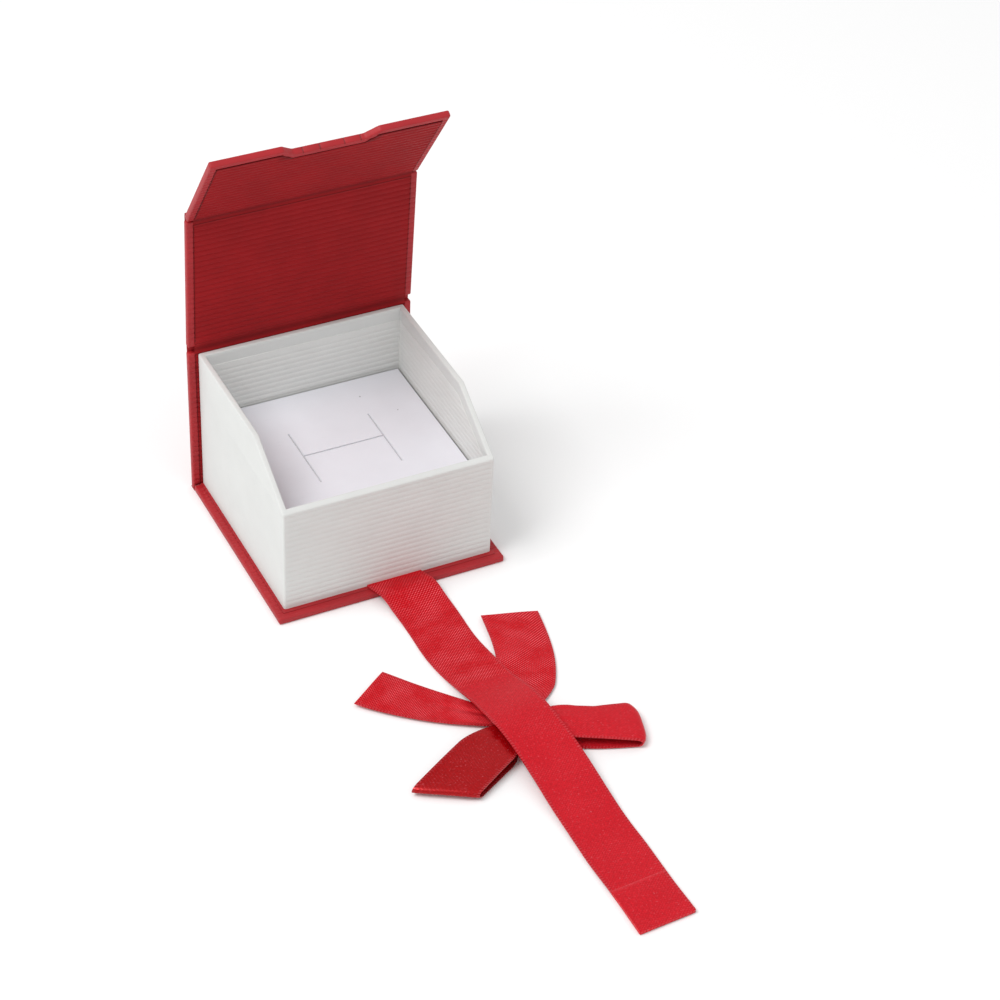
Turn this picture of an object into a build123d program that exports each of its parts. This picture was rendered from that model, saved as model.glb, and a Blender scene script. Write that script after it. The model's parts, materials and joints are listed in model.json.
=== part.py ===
"""Folding jewelry gift box with a slanted front flap, a card insert, and a ribbon strap with a bow.

Millimetres, +Z up, +Y towards the spine. The origin is the centre of the base panel's underside.
The box stands open with its strap laid out in front of it; the bow lies under the strap.
"""
from build123d import *
from math import asin, atan2, cos, degrees, hypot, radians, sin, sqrt
import os

# ---- driving dimensions -------------------------------------------------------------------------
case_width = 67.0            # base, spine, lid and flap, side to side
side_lip = 2.7               # base showing beside the tray
front_lip = 3.2              # base showing in front of the tray
tray_depth = 60.4            # tray, front face to back face
tray_back_height = 44.8      # level part of the tray's rim
tray_front_height = 32.4     # front wall, where the slanted rim ends
rim_level_length = 40.2      # level part of the rim, from the back face forwards
board = 1.5                  # greyboard in the case panels
tray_board = 1.3             # greyboard in the tray
paper = 0.2                  # ribbed covering paper
turn_in = 10.0               # covering paper folded over a panel's edge
liner_margin = 1.9           # turned-in paper left showing round a liner
rim_turn_in = 4.0            # covering paper folded down inside the tray

lid_length = 42.9            # hinge to crease
flap_length = 34.7           # crease to free edge
lid_lean = 3.5               # degrees that the open lid leans forward of upright
crease_gap = 2.0             # bare paper between lid board and flap board
hinge_gap = 0.3              # lid's lower edge above the hinge fold
lid_rest_gap = 0.3           # closed lid and flap above the rim
notch_width = 27.0           # shallow finger notch in the flap's free edge
notch_floor_width = 20.0
notch_depth = 3.0

insert_top = 26.5            # card's upper face above the table
insert_gap = 0.6             # between insert and tray walls
insert_seat = 0.3            # pad above the tray's floor
card = 0.4
slit_width = 0.5
slit_length = 23.2           # each leg of the H
slit_spacing = 24.0          # between the two legs
slit_shift = 0.8             # cross slit behind the legs' middle

ribbon_width = 16.0
ribbon = 0.4                 # ribbon thickness
anchor_length = 25.0         # ribbon glued between tray and base
anchor_glue = 0.1
exit_shift = 1.5             # strap leaves the box this far right of centre
exit_reach = 0.35            # first fold in front of the tray's face
strap_yaw = 3.4              # degrees that the laid-out strap turns to the right
strap_standoff = 1.0         # ribbon's middle above the closed box's faces
strap_start_gap = 0.8        # strap's first stretch past its fold
strap_fold_gap = 0.3         # other stretches past theirs
strap_tail_length = 32.0
table_gap = 0.05             # lowest ribbon above the table
strap_clear = 0.35           # strap's middle above the table
strap_lip_rise = 0.35        # ribbon's rise over the base's front lip
strap_landing = 16.0         # from the exit to where the ribbon meets the table
strap_drifts = (0.0, 1.3, 2.8, 1.0, 0.0)  # sideways wander at the exit, the three folds and the end
hem_length = 15.0
hem_thickness = 1.2
magnet_radius = 4.5
magnet_thickness = 0.6
spine_magnet_thickness = 1.0

bow_height = 5.4             # ribbon's middle above the table, over the knot
knot_size = (11.0, 8.5, 4.4)
loop_thickness = 2.3
loop_level = 0.95            # loops' underside above the table
loop_width = 15.0
tail_thickness = 0.55
tail_width = 15.5
gather_width = 5.0           # loops and tails where they leave the knot
gather_length = 12.0         # from there to their full width
bow_gap = 0.2                # between the knot and the ribbon beside it
bow_parts = {                # direction in degrees from +X, length from the knot's middle
    "bow_loop_right": (-26.0, 31.5),
    "bow_loop_left": (-151.0, 33.0),
    "bow_tail_right": (67.5, 43.5),
    "bow_tail_left": (136.5, 42.0),
}

# ---- positions worked out from them -------------------------------------------------------------
case = board + 3 * paper                         # panel with its wrap, turn-in and liner
base_depth = front_lip + tray_depth + case
spine_face = base_depth / 2                      # spine's outer face
tray_back = spine_face - case
tray_front = tray_back - tray_depth
tray_width = case_width - 2 * side_lip
wall = tray_board + 2 * paper                    # tray wall with wrap and liner
rim = case + tray_back_height                    # level rim above the table
front_rim = case + tray_front_height
rim_break = tray_back - rim_level_length
tray_middle = (tray_front + tray_back) / 2

hinge = Vector(0, spine_face - paper / 2, rim + lid_rest_gap + case - paper / 2)
closed_crease = hinge - Vector(0, lid_length, 0)
# the closed flap clears the front rim by the same gap as the lid clears the level rim
flap_run = closed_crease.Y - tray_front
flap_drop = hinge.Z - front_rim
flap_clear = case - paper / 2 + lid_rest_gap
flap_bend = degrees(atan2(flap_drop, flap_run) - asin(flap_clear / hypot(flap_run, flap_drop)))


def panel_plane(origin, lean):
    """Plane on a panel's outer face: X across, Y away from its hinge, Z outwards."""
    outward = Vector(0, cos(radians(lean)), sin(radians(lean)))
    return Plane(origin=origin + outward * (paper / 2), x_dir=(-1, 0, 0), z_dir=outward)


lid_plane = panel_plane(hinge, lid_lean)
crease = hinge + lid_plane.y_dir * lid_length
flap_plane = panel_plane(crease, lid_lean + flap_bend)
spine_plane = Plane(origin=(0, spine_face, 0), x_dir=(-1, 0, 0), z_dir=(0, 1, 0))
base_plane = Plane(origin=(0, spine_face, 0), x_dir=(1, 0, 0), z_dir=(0, 0, -1))

# each panel: outer plane, where it starts and ends along that plane, and whether its far edge is wrapped
panels = {
    "base": (base_plane, case + hinge_gap, base_depth, True),
    "spine": (spine_plane, paper, rim, False),
    "lid": (lid_plane, hinge_gap, lid_length - crease_gap / 2, False),
    "flap": (flap_plane, crease_gap / 2, flap_length, True),
}


def save(piece, label):
    """Name a finished piece and write it to its own file."""
    piece.label = label
    export_step(piece, f"parts/{label}.step")


def panel_outline(name, inset, far_inset):
    """A panel's outline, pulled in from its two sides and its far edge."""
    _, start, end, _ = panels[name]
    side = case_width / 2 - inset
    far = end - far_inset
    notch = [(notch_width / 2, far), (notch_floor_width / 2, far - notch_depth)]
    mirrored = [(-x, y) for x, y in reversed(notch)]
    points = [(-side, start), (side, start), (side, far)]
    points += notch + mirrored if name == "flap" else []
    with BuildSketch() as outline:
        with BuildLine():
            Polyline(*points, (-side, far), close=True)
        make_face()
    return outline.sketch


os.makedirs("parts", exist_ok=True)

# ---- case: four greyboard panels, each wrapped in ribbed paper and lined ---------------------------
magnet_drop = strap_tail_length - hem_length / 2        # hem magnet below the strap's last fold
spine_magnet_spot = (-exit_shift - strap_drifts[3] / 2, hinge.Z + strap_standoff - magnet_drop)

for name, (plane, start, end, far_wrapped) in panels.items():
    edge = paper if far_wrapped else 0
    fold = turn_in if far_wrapped else 0
    margin = liner_margin if far_wrapped else 0

    with BuildPart() as panel_board:
        with BuildSketch(plane.offset(-paper)):
            add(panel_outline(name, paper, edge))
        extrude(amount=-board)
        if name == "spine":
            with BuildSketch(plane.offset(-paper)):
                with Locations(spine_magnet_spot):
                    Circle(magnet_radius)
            extrude(amount=-spine_magnet_thickness, mode=Mode.SUBTRACT)
    save(panel_board.part, f"{name}_board")

    with BuildPart() as panel_wrap:
        with BuildSketch(plane):
            add(panel_outline(name, 0, 0))
        extrude(amount=-(board + 2 * paper))
        with BuildSketch(plane.offset(-paper)):
            add(panel_outline(name, paper, edge))
        extrude(amount=-board, mode=Mode.SUBTRACT)
        with BuildSketch(plane.offset(-paper - board)):
            add(panel_outline(name, turn_in, fold))
        extrude(amount=-paper, mode=Mode.SUBTRACT)
    save(panel_wrap.part, f"{name}_wrap")

    # the liner is pasted to the board inside the turn-ins and laps over them
    with BuildPart() as panel_liner:
        with BuildSketch(plane.offset(-paper - board)):
            add(panel_outline(name, turn_in, fold))
        extrude(amount=-paper)
        with BuildSketch(plane.offset(-2 * paper - board)):
            add(panel_outline(name, liner_margin, margin))
        extrude(amount=-paper)
    save(panel_liner.part, f"{name}_liner")

with BuildPart() as spine_magnet:
    with BuildSketch(spine_plane.offset(-paper)):
        with Locations(spine_magnet_spot):
            Circle(magnet_radius)
    extrude(amount=-spine_magnet_thickness)
save(spine_magnet.part, "spine_magnet")

# ---- folds of the covering paper between the panels -------------------------------------------------
with BuildPart() as base_fold:
    with BuildSketch(Plane.YZ):
        with BuildLine():
            Polyline((spine_face - case - hinge_gap, 0), (spine_face, 0), (spine_face, paper),
                     (spine_face - case - hinge_gap, paper), close=True)
        make_face()
    extrude(amount=case_width / 2, both=True)
    fillet(base_fold.edges().filter_by(Axis.X).group_by(Axis.Y)[-1].sort_by(Axis.Z)[0], 0.9 * paper)
save(base_fold.part, "base_fold")

with BuildPart() as lid_hinge_fold:
    with BuildSketch(Plane.YZ):
        with BuildLine():
            inner_top, outer_top = (hinge.Y - paper / 2, hinge.Z), (hinge.Y + paper / 2, hinge.Z)
            Polyline(inner_top, (inner_top[0], rim), (outer_top[0], rim), outer_top)
            ThreePointArc(outer_top, (hinge.Y, hinge.Z + paper / 2), inner_top)
        make_face()
    extrude(amount=case_width / 2, both=True)
save(lid_hinge_fold.part, "lid_hinge_fold")

crease_side = Plane(origin=crease, x_dir=lid_plane.y_dir, z_dir=(1, 0, 0))
with BuildPart() as flap_crease_fold:
    with BuildSketch(crease_side):
        with Locations((-crease_gap / 4, 0)):
            Rectangle(crease_gap / 2, paper)
        Circle(paper / 2)
    extrude(amount=case_width / 2, both=True)
save(flap_crease_fold.part, "flap_crease_fold")


# ---- tray: five boards, wrapped outside and over the rim, lined inside ------------------------------
def tray_side(inset, lowered=0):
    """The tray's side view, pulled in all round, its rim lowered."""
    with BuildSketch() as outline:
        with BuildLine():
            Polyline((tray_front, case), (tray_back, case), (tray_back, rim - lowered),
                     (rim_break, rim - lowered), (tray_front, front_rim - lowered), close=True)
        make_face()
        if inset:
            offset(amount=-inset, kind=Kind.INTERSECTION, mode=Mode.REPLACE)
    return outline.sketch


def tray_plan(inset):
    """The tray's plan, pulled in all round."""
    with BuildSketch() as outline:
        with Locations((0, tray_middle)):
            Rectangle(tray_width - 2 * inset, tray_depth - 2 * inset)
    return outline.sketch


wall_inset = paper + tray_board
recess = anchor_glue + ribbon + anchor_glue       # pressed into the tray's underside for the strap
floor_top = case + paper + tray_board


with BuildPart() as strap_recess:
    with BuildSketch(Plane.XY.offset(case)):
        with Locations((exit_shift, tray_front + anchor_length / 2)):
            Rectangle(ribbon_width + 2 * anchor_glue, anchor_length + 2 * anchor_glue)
    extrude(amount=recess)


with BuildPart() as tray_floor:
    with BuildSketch(Plane.XY.offset(case + paper)):
        add(tray_plan(wall_inset))
    extrude(amount=tray_board)
    add(strap_recess.part, mode=Mode.SUBTRACT)
save(tray_floor.part, "tray_floor")

for label, side in (("tray_wall_left", -1), ("tray_wall_right", 1)):
    inner_face = side * (tray_width / 2 - wall_inset)
    with BuildPart() as side_wall:
        with BuildSketch(Plane.YZ.offset(inner_face)):
            add(tray_side(paper))
        extrude(amount=side * tray_board)
    save(side_wall.part, label)

for label, low in (("tray_wall_front", tray_front + paper), ("tray_wall_back", tray_back - wall_inset)):
    with BuildPart() as cross_wall:
        with BuildSketch(Plane.YZ):
            add(tray_side(paper))
        extrude(amount=tray_width / 2 - wall_inset, both=True)
        with BuildSketch(Plane.XY):
            with Locations((0, low + tray_board / 2)):
                Rectangle(tray_width, tray_board)
        extrude(amount=2 * rim, mode=Mode.INTERSECT)
        if label == "tray_wall_front":
            add(strap_recess.part, mode=Mode.SUBTRACT)
    save(cross_wall.part, label)

with BuildPart() as tray_wrap:
    with BuildSketch(Plane.YZ):
        add(tray_side(0))
    extrude(amount=tray_width / 2, both=True)
    with BuildSketch(Plane.YZ):
        add(tray_side(paper))
    extrude(amount=tray_width / 2 - paper, both=True, mode=Mode.SUBTRACT)
    with BuildSketch(Plane.XY.offset(case)):
        add(tray_plan(turn_in))
    extrude(amount=paper, mode=Mode.SUBTRACT)
    with BuildSketch(Plane.XY.offset(floor_top)):
        add(tray_plan(wall_inset))
    extrude(amount=rim, mode=Mode.SUBTRACT)
    add(strap_recess.part, mode=Mode.SUBTRACT)
save(tray_wrap.part, "tray_wrap")

for label, upper_drop in (("tray_rim_turn_in", 0), ("tray_liner", rim_turn_in)):
    with BuildPart() as inner_paper:
        with BuildSketch(Plane.YZ):
            add(tray_side(0, lowered=upper_drop))
        extrude(amount=tray_width / 2, both=True)
        with BuildSketch(Plane.XY.offset(floor_top)):
            add(tray_plan(wall_inset))
            add(tray_plan(wall), mode=Mode.SUBTRACT)
        extrude(amount=rim, mode=Mode.INTERSECT)
        if label == "tray_rim_turn_in":
            with BuildSketch(Plane.YZ):
                add(tray_side(0, lowered=rim_turn_in))
            extrude(amount=tray_width / 2, both=True, mode=Mode.SUBTRACT)
    save(inner_paper.part, label)

# ---- insert: slit card on a foam pad ----------------------------------------------------------------
insert_width = tray_width - 2 * wall - 2 * insert_gap
insert_depth = tray_depth - 2 * wall - 2 * insert_gap

with BuildPart() as insert_card:
    with BuildSketch(Plane.XY.offset(insert_top - card)):
        with Locations((0, tray_middle)):
            Rectangle(insert_width, insert_depth)
        with Locations((-slit_spacing / 2, tray_middle), (slit_spacing / 2, tray_middle)):
            Rectangle(slit_width, slit_length, mode=Mode.SUBTRACT)
        with Locations((0, tray_middle + slit_shift)):
            Rectangle(slit_spacing, slit_width, mode=Mode.SUBTRACT)
    extrude(amount=card)
save(insert_card.part, "insert_card")

with BuildPart() as insert_pad:
    with BuildSketch(Plane.XY.offset(floor_top + insert_seat)):
        with Locations((0, tray_middle)):
            Rectangle(insert_width, insert_depth)
    extrude(amount=insert_top - card - floor_top - insert_seat)
save(insert_pad.part, "insert_pad")

# ---- strap: where it folds when it is wrapped round the closed box ----------------------------------
axis_standoff = strap_standoff + paper / 2
lid_normal = Vector(0, 0, 1)
flap_normal = Vector(0, -sin(radians(flap_bend)), cos(radians(flap_bend)))
flap_along = Vector(0, -cos(radians(flap_bend)), -sin(radians(flap_bend)))

strap_exit = Vector(exit_shift, tray_front - exit_reach, case + anchor_glue + ribbon / 2)
edge_reach = flap_length - notch_depth + strap_standoff
over_edge = closed_crease + flap_along * edge_reach + flap_normal * axis_standoff
crease_standoff = axis_standoff / (1 + lid_normal.dot(flap_normal))
over_crease = closed_crease + (lid_normal + flap_normal) * crease_standoff
over_spine = Vector(0, spine_face + strap_standoff, hinge.Z + axis_standoff)


def reach(a, b):
    """Distance between two places in side view."""
    return hypot(b.Y - a.Y, b.Z - a.Z)


front_length = reach(strap_exit, over_edge)
slope_length = reach(over_edge, over_crease)
top_length = reach(over_crease, over_spine)

# ---- strap: the same folds as it lies in front of the open box --------------------------------------
heading = Vector(sin(radians(strap_yaw)), -cos(radians(strap_yaw)), 0)
sideways = Vector(cos(radians(strap_yaw)), sin(radians(strap_yaw)), 0)


def next_fold(fold, length, height):
    """The fold a ribbon length further on, at a height above the table."""
    drop = height - fold.Z
    return fold + heading * sqrt(length ** 2 - drop ** 2) + Vector(0, 0, drop)


edge_fold = next_fold(strap_exit, front_length, strap_clear)
crease_fold = next_fold(edge_fold, slope_length, bow_height)
spine_fold = next_fold(crease_fold, top_length, hem_thickness / 2 + table_gap)
strap_end = next_fold(spine_fold, strap_tail_length, spine_fold.Z)


def round_nose(fold, drift):
    """The ribbon's rounded end about a fold."""
    with BuildPart() as nose:
        with BuildSketch(Plane(origin=fold + sideways * drift, x_dir=heading, z_dir=sideways)):
            Circle(ribbon / 2)
        extrude(amount=ribbon_width / 2, both=True)
    return nose.part


def ribbon_stretch(start, end, drifts, trim=0):
    """A flat stretch between two folds, its sides following the drifts."""
    along = (end - start).normalized()
    length = (end - start).length - trim
    half = ribbon_width / 2
    first, last = drifts
    with BuildPart() as stretch:
        with BuildSketch(Plane(origin=start, x_dir=along, z_dir=along.cross(sideways))):
            with BuildLine():
                Polyline((strap_fold_gap, first - half), (strap_fold_gap, first + half),
                         (length, last + half), (length, last - half), close=True)
            make_face()
        extrude(amount=ribbon / 2, both=True)
    return stretch.part


with BuildPart() as strap_anchor:
    with BuildSketch(Plane.XY.offset(strap_exit.Z)):
        with Locations((exit_shift, strap_exit.Y + (anchor_length + exit_reach) / 2)):
            Rectangle(ribbon_width, anchor_length + exit_reach)
    extrude(amount=ribbon / 2, both=True)
    with BuildSketch(Plane.YZ.offset(exit_shift)):
        with Locations((strap_exit.Y, strap_exit.Z)):
            Circle(ribbon / 2)
    extrude(amount=ribbon_width / 2, both=True)
save(strap_anchor.part, "strap_anchor")

# the first stretch clears the base's lip, then slopes down to the table
flat_run = sqrt(front_length ** 2 - (strap_exit.Z - strap_clear) ** 2)
route = [(strap_start_gap, strap_exit.Z), (front_lip + strap_start_gap, strap_exit.Z + strap_lip_rise),
         (strap_landing, strap_clear), (flat_run, strap_clear)]
upper = [(along, height + ribbon / 2) for along, height in route]
lower = [(along, height - ribbon / 2) for along, height in reversed(route)]
exit_ground = Vector(strap_exit.X, strap_exit.Y, 0) + sideways * (strap_drifts[1] / 2)
with BuildPart() as strap_front:
    with BuildSketch(Plane(origin=exit_ground, x_dir=heading, z_dir=-sideways)):
        with BuildLine():
            Polyline(*upper, *lower, close=True)
        make_face()
    extrude(amount=ribbon_width / 2, both=True)
    add(round_nose(edge_fold, strap_drifts[1] / 2))
save(strap_front.part, "strap_front")

with BuildPart() as strap_slope:
    add(ribbon_stretch(edge_fold, crease_fold, strap_drifts[1:3]))
    add(round_nose(crease_fold, strap_drifts[2]))
save(strap_slope.part, "strap_slope")

with BuildPart() as strap_top:
    add(ribbon_stretch(crease_fold, spine_fold, strap_drifts[2:4]))
    add(round_nose(spine_fold, strap_drifts[3]))
save(strap_top.part, "strap_top")

with BuildPart() as strap_tail:
    add(ribbon_stretch(spine_fold, strap_end, strap_drifts[3:5], trim=hem_length))
save(strap_tail.part, "strap_tail")

hem_middle = strap_end - heading * (hem_length / 2) + sideways * strap_drifts[4]
hem_plane = Plane(origin=hem_middle, x_dir=heading, z_dir=(0, 0, 1))
with BuildPart() as strap_hem:
    with BuildSketch(hem_plane):
        Rectangle(hem_length, ribbon_width)
    extrude(amount=hem_thickness / 2, both=True)
    with BuildSketch(hem_plane):
        Circle(magnet_radius)
    extrude(amount=magnet_thickness / 2, both=True, mode=Mode.SUBTRACT)
save(strap_hem.part, "strap_hem")

with BuildPart() as strap_magnet:
    with BuildSketch(hem_plane):
        Circle(magnet_radius)
    extrude(amount=magnet_thickness / 2, both=True)
save(strap_magnet.part, "strap_magnet")

# ---- bow: tied at the crease fold, on the strap's outer side ----------------------------------------
bow_middle = Vector(crease_fold.X, crease_fold.Y, 0) + sideways * strap_drifts[2]
knot_across, knot_along, knot_height = knot_size
with BuildPart() as bow_knot:
    with BuildSketch(Plane(origin=bow_middle + Vector(0, 0, table_gap), x_dir=(1, 0, 0), z_dir=(0, 0, 1))):
        Rectangle(knot_across, knot_along)
    extrude(amount=knot_height - table_gap)
    fillet(bow_knot.edges(), knot_height / 4)
save(bow_knot.part, "bow_knot")

for label, (turn, length) in bow_parts.items():
    is_loop = "loop" in label
    level, thickness, width = (
        (loop_level, loop_thickness, loop_width) if is_loop else (table_gap, tail_thickness, tail_width))
    start = knot_across / 2 * abs(cos(radians(turn))) + knot_along / 2 * abs(sin(radians(turn))) + bow_gap
    outward = Vector(cos(radians(turn)), sin(radians(turn)), 0)
    half_gather = gather_width / 2
    with BuildPart() as bow_part:
        with BuildSketch(Plane(origin=bow_middle + Vector(0, 0, level), x_dir=outward, z_dir=(0, 0, 1))):
            with BuildLine():
                full = start + gather_length
                Polyline((start, -half_gather), (full, -width / 2), (length, -width / 2),
                         (length, width / 2), (full, width / 2), (start, half_gather), close=True)
            make_face()
        extrude(amount=thickness)
        if is_loop:
            long_edges = [e for e in bow_part.edges() if e.length > width / 2]
            fillet([e for e in long_edges if abs((e.center() - bow_middle).dot(outward) - length) < 0.01],
                   0.4 * thickness)
    save(bow_part.part, label)
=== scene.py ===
import json
from math import cos, exp, hypot, pi, radians, sin

import bmesh
import bpy
from mathutils import Matrix, Vector, noise


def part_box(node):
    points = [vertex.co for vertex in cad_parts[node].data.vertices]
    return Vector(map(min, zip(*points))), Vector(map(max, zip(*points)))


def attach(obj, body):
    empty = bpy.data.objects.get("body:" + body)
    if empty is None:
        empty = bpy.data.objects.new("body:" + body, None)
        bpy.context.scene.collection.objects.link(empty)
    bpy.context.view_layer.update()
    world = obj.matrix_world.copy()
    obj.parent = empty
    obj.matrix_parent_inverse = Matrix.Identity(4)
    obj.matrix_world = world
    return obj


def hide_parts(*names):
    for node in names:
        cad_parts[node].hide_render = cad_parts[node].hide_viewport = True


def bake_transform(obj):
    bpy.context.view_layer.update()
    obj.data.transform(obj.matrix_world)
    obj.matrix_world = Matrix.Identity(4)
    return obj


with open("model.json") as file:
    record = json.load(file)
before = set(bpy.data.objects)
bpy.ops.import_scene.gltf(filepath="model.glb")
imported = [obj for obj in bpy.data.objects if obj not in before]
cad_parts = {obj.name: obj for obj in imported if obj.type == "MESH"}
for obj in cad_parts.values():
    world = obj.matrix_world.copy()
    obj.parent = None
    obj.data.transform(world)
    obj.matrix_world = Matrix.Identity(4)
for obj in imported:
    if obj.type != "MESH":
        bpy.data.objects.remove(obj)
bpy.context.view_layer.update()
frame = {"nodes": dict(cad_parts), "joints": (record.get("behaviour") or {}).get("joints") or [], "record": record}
scene = bpy.context.scene
mm = 0.001

jointPlace = {j["name"]: Vector(j["pos_m"]) for j in frame["joints"] if "pos_m" in j}
jointRange = {j["name"]: j.get("range_deg") for j in frame["joints"]}

# a camera that looks down on the open box from its front left corner
camera = {
    "aim": (0.0331, -0.0295, 0.0195),
    "azimuth": -27.77,
    "elevation": 38.62,
    "roll": 2.75,
    "distance": 0.7482,
    "lens": 98.5,
}
azimuth, elevation = radians(camera["azimuth"]), radians(camera["elevation"])
back = Vector((sin(azimuth) * cos(elevation), -cos(azimuth) * cos(elevation), sin(elevation)))
cameraData = bpy.data.cameras.new("camera")
cameraData.lens = camera["lens"]
cameraData.clip_start = 0.01
cameraObject = bpy.data.objects.new("camera", cameraData)
cameraObject.rotation_mode = "QUATERNION"
level = (-back).to_track_quat("-Z", "Y")
cameraObject.rotation_quaternion = Matrix.Rotation(radians(camera["roll"]), 3, back).to_quaternion() @ level
cameraObject.location = Vector(camera["aim"]) + back * camera["distance"]
scene.collection.objects.link(cameraObject)
scene.camera = cameraObject
scene.view_settings.view_transform = "Standard"

# soft studio light: a pale surround, a large key from the upper left and a weak fill
world = bpy.data.worlds.new("studio")
world.use_nodes = True
world.node_tree.nodes["Background"].inputs["Color"].default_value = (1, 1, 1, 1)
world.node_tree.nodes["Background"].inputs["Strength"].default_value = 0.7
scene.world = world
lights = {
    "key": {"place": (-0.85, -0.08, 1.4), "size": 0.9, "power": 15.0},
    "fill": {"place": (0.9, -1.2, 0.9), "size": 1.2, "power": 1.2},
}
for name, light in lights.items():
    lightData = bpy.data.lights.new(name, "AREA")
    lightData.size = light["size"]
    lightData.energy = light["power"]
    lightObject = bpy.data.objects.new(name, lightData)
    lightObject.location = light["place"]
    lightObject.rotation_mode = "QUATERNION"
    lightObject.rotation_quaternion = (-Vector(light["place"])).to_track_quat("-Z", "Y")
    scene.collection.objects.link(lightObject)
print("camera and lights")


# materials: every look comes from nodes
class Nodes:
    def __init__(self, name):
        self.material = bpy.data.materials.new(name)
        self.material.use_nodes = True
        self.tree = self.material.node_tree
        self.shader = self.tree.nodes["Principled BSDF"]
        self.coordinates = self.add("TexCoord")

    def add(self, kind, inputs=None, **values):
        node = self.tree.nodes.new("ShaderNode" + kind)
        for key, value in values.items():
            setattr(node, key, value)
        for key, value in (inputs or {}).items():
            self.put(node, key, value)
        return node

    def put(self, node, key, value):
        if isinstance(value, bpy.types.NodeSocket):
            self.tree.links.new(value, node.inputs[key])
        else:
            node.inputs[key].default_value = value

    def math(self, operation, a, b=0.0, c=0.0):
        return self.add("Math", {0: a, 1: b, 2: c}, operation=operation).outputs[0]

    def noise(self, where, scale, detail=4.0, roughness=0.55):
        inputs = {"Vector": where, "Scale": scale, "Detail": detail, "Roughness": roughness}
        return self.add("TexNoise", inputs).outputs["Fac"]

    def stretched(self, where, factors):
        return self.add("Mapping", {"Vector": where, "Scale": factors}).outputs[0]

    def ramp(self, factor, stops):
        node = self.add("ValToRGB", {"Fac": factor})
        elements = node.color_ramp.elements
        while len(elements) < len(stops):
            elements.new(0.5)
        for element, (place, colour) in zip(elements, stops):
            element.position = place
            element.color = (*colour, 1)
        return node.outputs["Color"]

    def mix(self, factor, a, b, blend="MIX"):
        node = self.add("Mix", data_type="RGBA", blend_type=blend)
        for key, value in ((0, factor), (6, a), (7, b)):
            self.put(node, key, value if not isinstance(value, tuple) else (*value, 1))
        return node.outputs[2]

    def range(self, value, low, high):
        return self.add("MapRange", {"Value": value, "To Min": low, "To Max": high}).outputs[0]

    def between(self, value, low, high):
        return self.add("MapRange", {"Value": value, "From Min": low, "From Max": high}).outputs[0]

    def wave(self, value, pitch):
        return self.math("SINE", self.math("MULTIPLY", value, 2 * pi / pitch))

    def bump(self, height, strength, distance, normal=None):
        inputs = {"Height": height, "Strength": strength, "Distance": distance}
        if normal:
            inputs["Normal"] = normal
        return self.add("Bump", inputs).outputs[0]

    def finish(self, **inputs):
        for key, value in inputs.items():
            self.put(self.shader, key.replace("_", " "), value)
        return self.material


def scaled(colour, factor):
    return tuple(min(1.0, c * factor) for c in colour)


# laid paper: pulp clouds, short fibres across, a fine tooth, a little shine, and painted shade where the edge
# attribute is set: liner edges, tucks and creased grooves
def ribbedPaper(name, colour, contrast, gloss, specular):
    n = Nodes(name)
    where = n.coordinates.outputs["Object"]
    cloud = n.noise(where, 120.0, 3.0)
    fibre = n.noise(n.stretched(where, (0.35, 1.0, 1.0)), 2600.0, 6.0, 0.65)
    tooth = n.noise(where, 9000.0, 3.0, 0.6)
    tone = n.ramp(cloud, [(0.3, scaled(colour, 1 - contrast)), (0.7, scaled(colour, 1 + contrast))])
    pale = colour[1] > 0.2
    fibreColour = scaled(colour, 0.85 if pale else 0.55)
    flecked = n.mix(n.range(fibre, 0.0, 0.5 * contrast + 0.1), tone, fibreColour)
    # painted shade: darkens the paper where the edge attribute marks a groove, a tuck or a liner's cut edge
    paintedShade = n.math("MULTIPLY", n.add("Attribute", attribute_name="edge").outputs["Fac"], 0.8)
    flecked = n.mix(paintedShade, flecked, scaled(colour, 0.2))
    fine = n.bump(tooth, 0.35, 0.00004)
    return n.finish(Base_Color=flecked, Roughness=n.range(fibre, gloss, gloss + 0.18),
                    Specular_IOR_Level=specular, Normal=n.bump(fibre, 0.3, 0.00006, fine))


# ribbon weave in millimetres: half width, spacing of the binding points, the selvage and its picot
ribbonWeave = {"half": 8.0, "across": 0.95, "along": 0.78, "selvage": 7.3, "picot": 0.85}
# lighter colours: the picot's threads, a painted highlight along the hem's pressed seam, and scattered painted
# glints
threadColoursAndHighlights = {"picot": (0.8, 0.1, 0.12), "seamHighlight": (0.85, 0.16, 0.18), "glint": (0.9, 0.2, 0.24)}
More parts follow.
